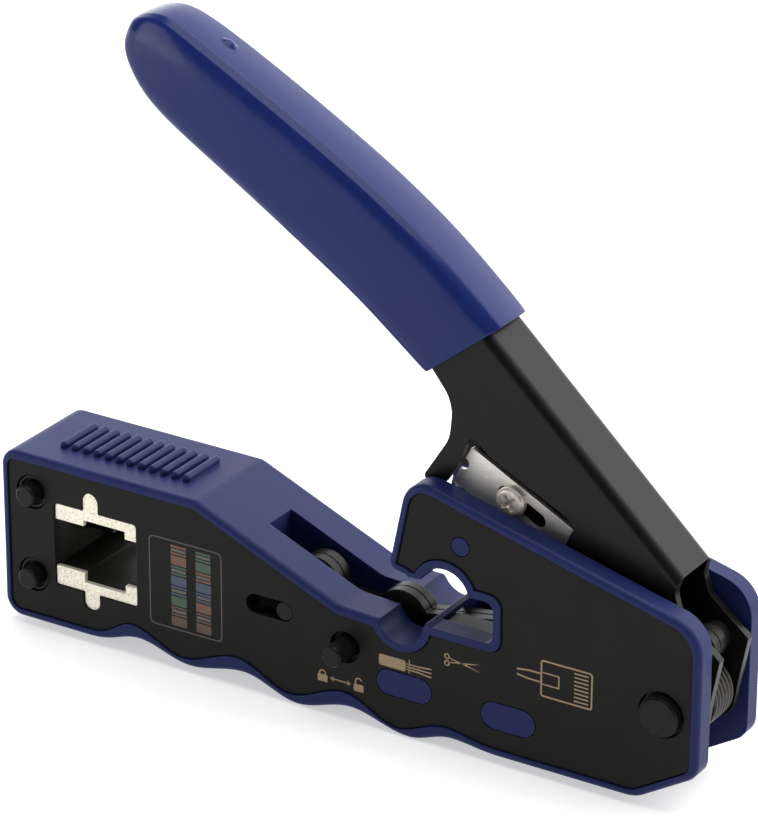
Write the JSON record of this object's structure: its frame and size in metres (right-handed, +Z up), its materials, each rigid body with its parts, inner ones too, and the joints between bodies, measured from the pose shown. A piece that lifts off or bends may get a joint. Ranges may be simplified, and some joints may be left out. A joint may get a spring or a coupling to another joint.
{
  "type": "modular plug crimping tool",
  "caption": "Hand-held crimping tool for modular network plugs, with a lever, sliding ram, plug port, cable stripping hole, cutting window and push lock.",
  "frame": {"origin": "bottom centre of the bounding box with the lever open: the surface the finger crests stand on, midway along and across", "axes": "+X along the body from the plug head to the pivot, +Y from the printed front side to the back side, +Z up"},
  "size_m": [0.135, 0.026, 0.1136],
  "materials": {
    "housing_plastic": "satin dark violet-blue moulded plastic",
    "grip_vinyl": "glossy dipped vinyl, dark royal blue",
    "black_plate": "satin black oxide sheet steel",
    "black_lever": "satin black folded sheet steel",
    "die_steel": "bright grained nickel plate",
    "blade_steel": "ground tool steel",
    "nickel_screw": "nickel plated",
    "dark_nest": "dark phosphated block",
    "spring_steel": "oiled spring wire",
    "dark_steel": "black oxide steel"
  },
  "bodies": {
    "root": {"main_housing": "housing_plastic", "front_side_plate": "black_plate", "back_side_plate": "black_plate", "head_rivets": "dark_steel", "pivot_pin": "dark_steel", "pivot_bush": "dark_steel", "pivot_washers": "dark_steel", "upper_die_plate": "die_steel", "lower_die_plate": "die_steel", "plug_nest": "dark_nest", "latch_anvil": "dark_steel", "cutting_anvil": "dark_steel", "anvil_pins": "dark_steel", "torsion_spring": "spring_steel"},
    "lever": {"lever_channel": "black_lever", "lever_grip": "grip_vinyl", "cutting_blade": "blade_steel", "blade_carrier": "dark_steel", "carrier_rivets": "dark_steel", "blade_screw": "nickel_screw", "crank_pin": "dark_steel", "crank_bushes": "dark_steel"},
    "link": {"link_plate_front": "dark_steel", "link_plate_back": "dark_steel"},
    "ram": {"ram_plate_front": "dark_steel", "ram_plate_back": "dark_steel", "ram_head": "dark_steel", "ram_rivets": "dark_steel", "contact_punch": "blade_steel", "strain_relief_punch": "dark_steel", "wire_trim_blade": "blade_steel", "trim_blade_screws": "nickel_screw", "clevis_pin": "dark_steel", "guide_pin": "dark_steel", "guide_plates": "dark_steel"},
    "lock": {"lock_bolt": "dark_steel"}
  },
  "joints": [
    {"name": "lever_hinge", "type": "hinge", "parent": "root", "child": "lever", "pos_m": [0.05997, 0.0015, 0.0174], "axis": [0, -1, 0], "range_deg": [0, 27.3], "stiffness_Nm_per_rad": 0.25, "springref_deg": -45.84, "deforming": ["torsion_spring"]},
    {"name": "link_hinge", "type": "hinge", "parent": "lever", "child": "link", "pos_m": [0.0621, 0.0015, 0.02615], "axis": [0, -1, 0], "range_deg": [-27.5, 0.2]},
    {"name": "ram_slide", "type": "slide", "parent": "root", "child": "ram", "axis": [-1, 0, 0], "range_m": [-0.00001, 0.00427]},
    {"name": "lock_slide", "type": "slide", "parent": "root", "child": "lock", "axis": [0, 1, 0], "range_m": [0, 0.004]}
  ],
  "couplings": [
    {"joint": "link_hinge", "follows": "lever_hinge", "ratio": -1},
    {"joint": "ram_slide", "follows": "lever_hinge", "m_per_rad": 0.0089151}
  ]
}
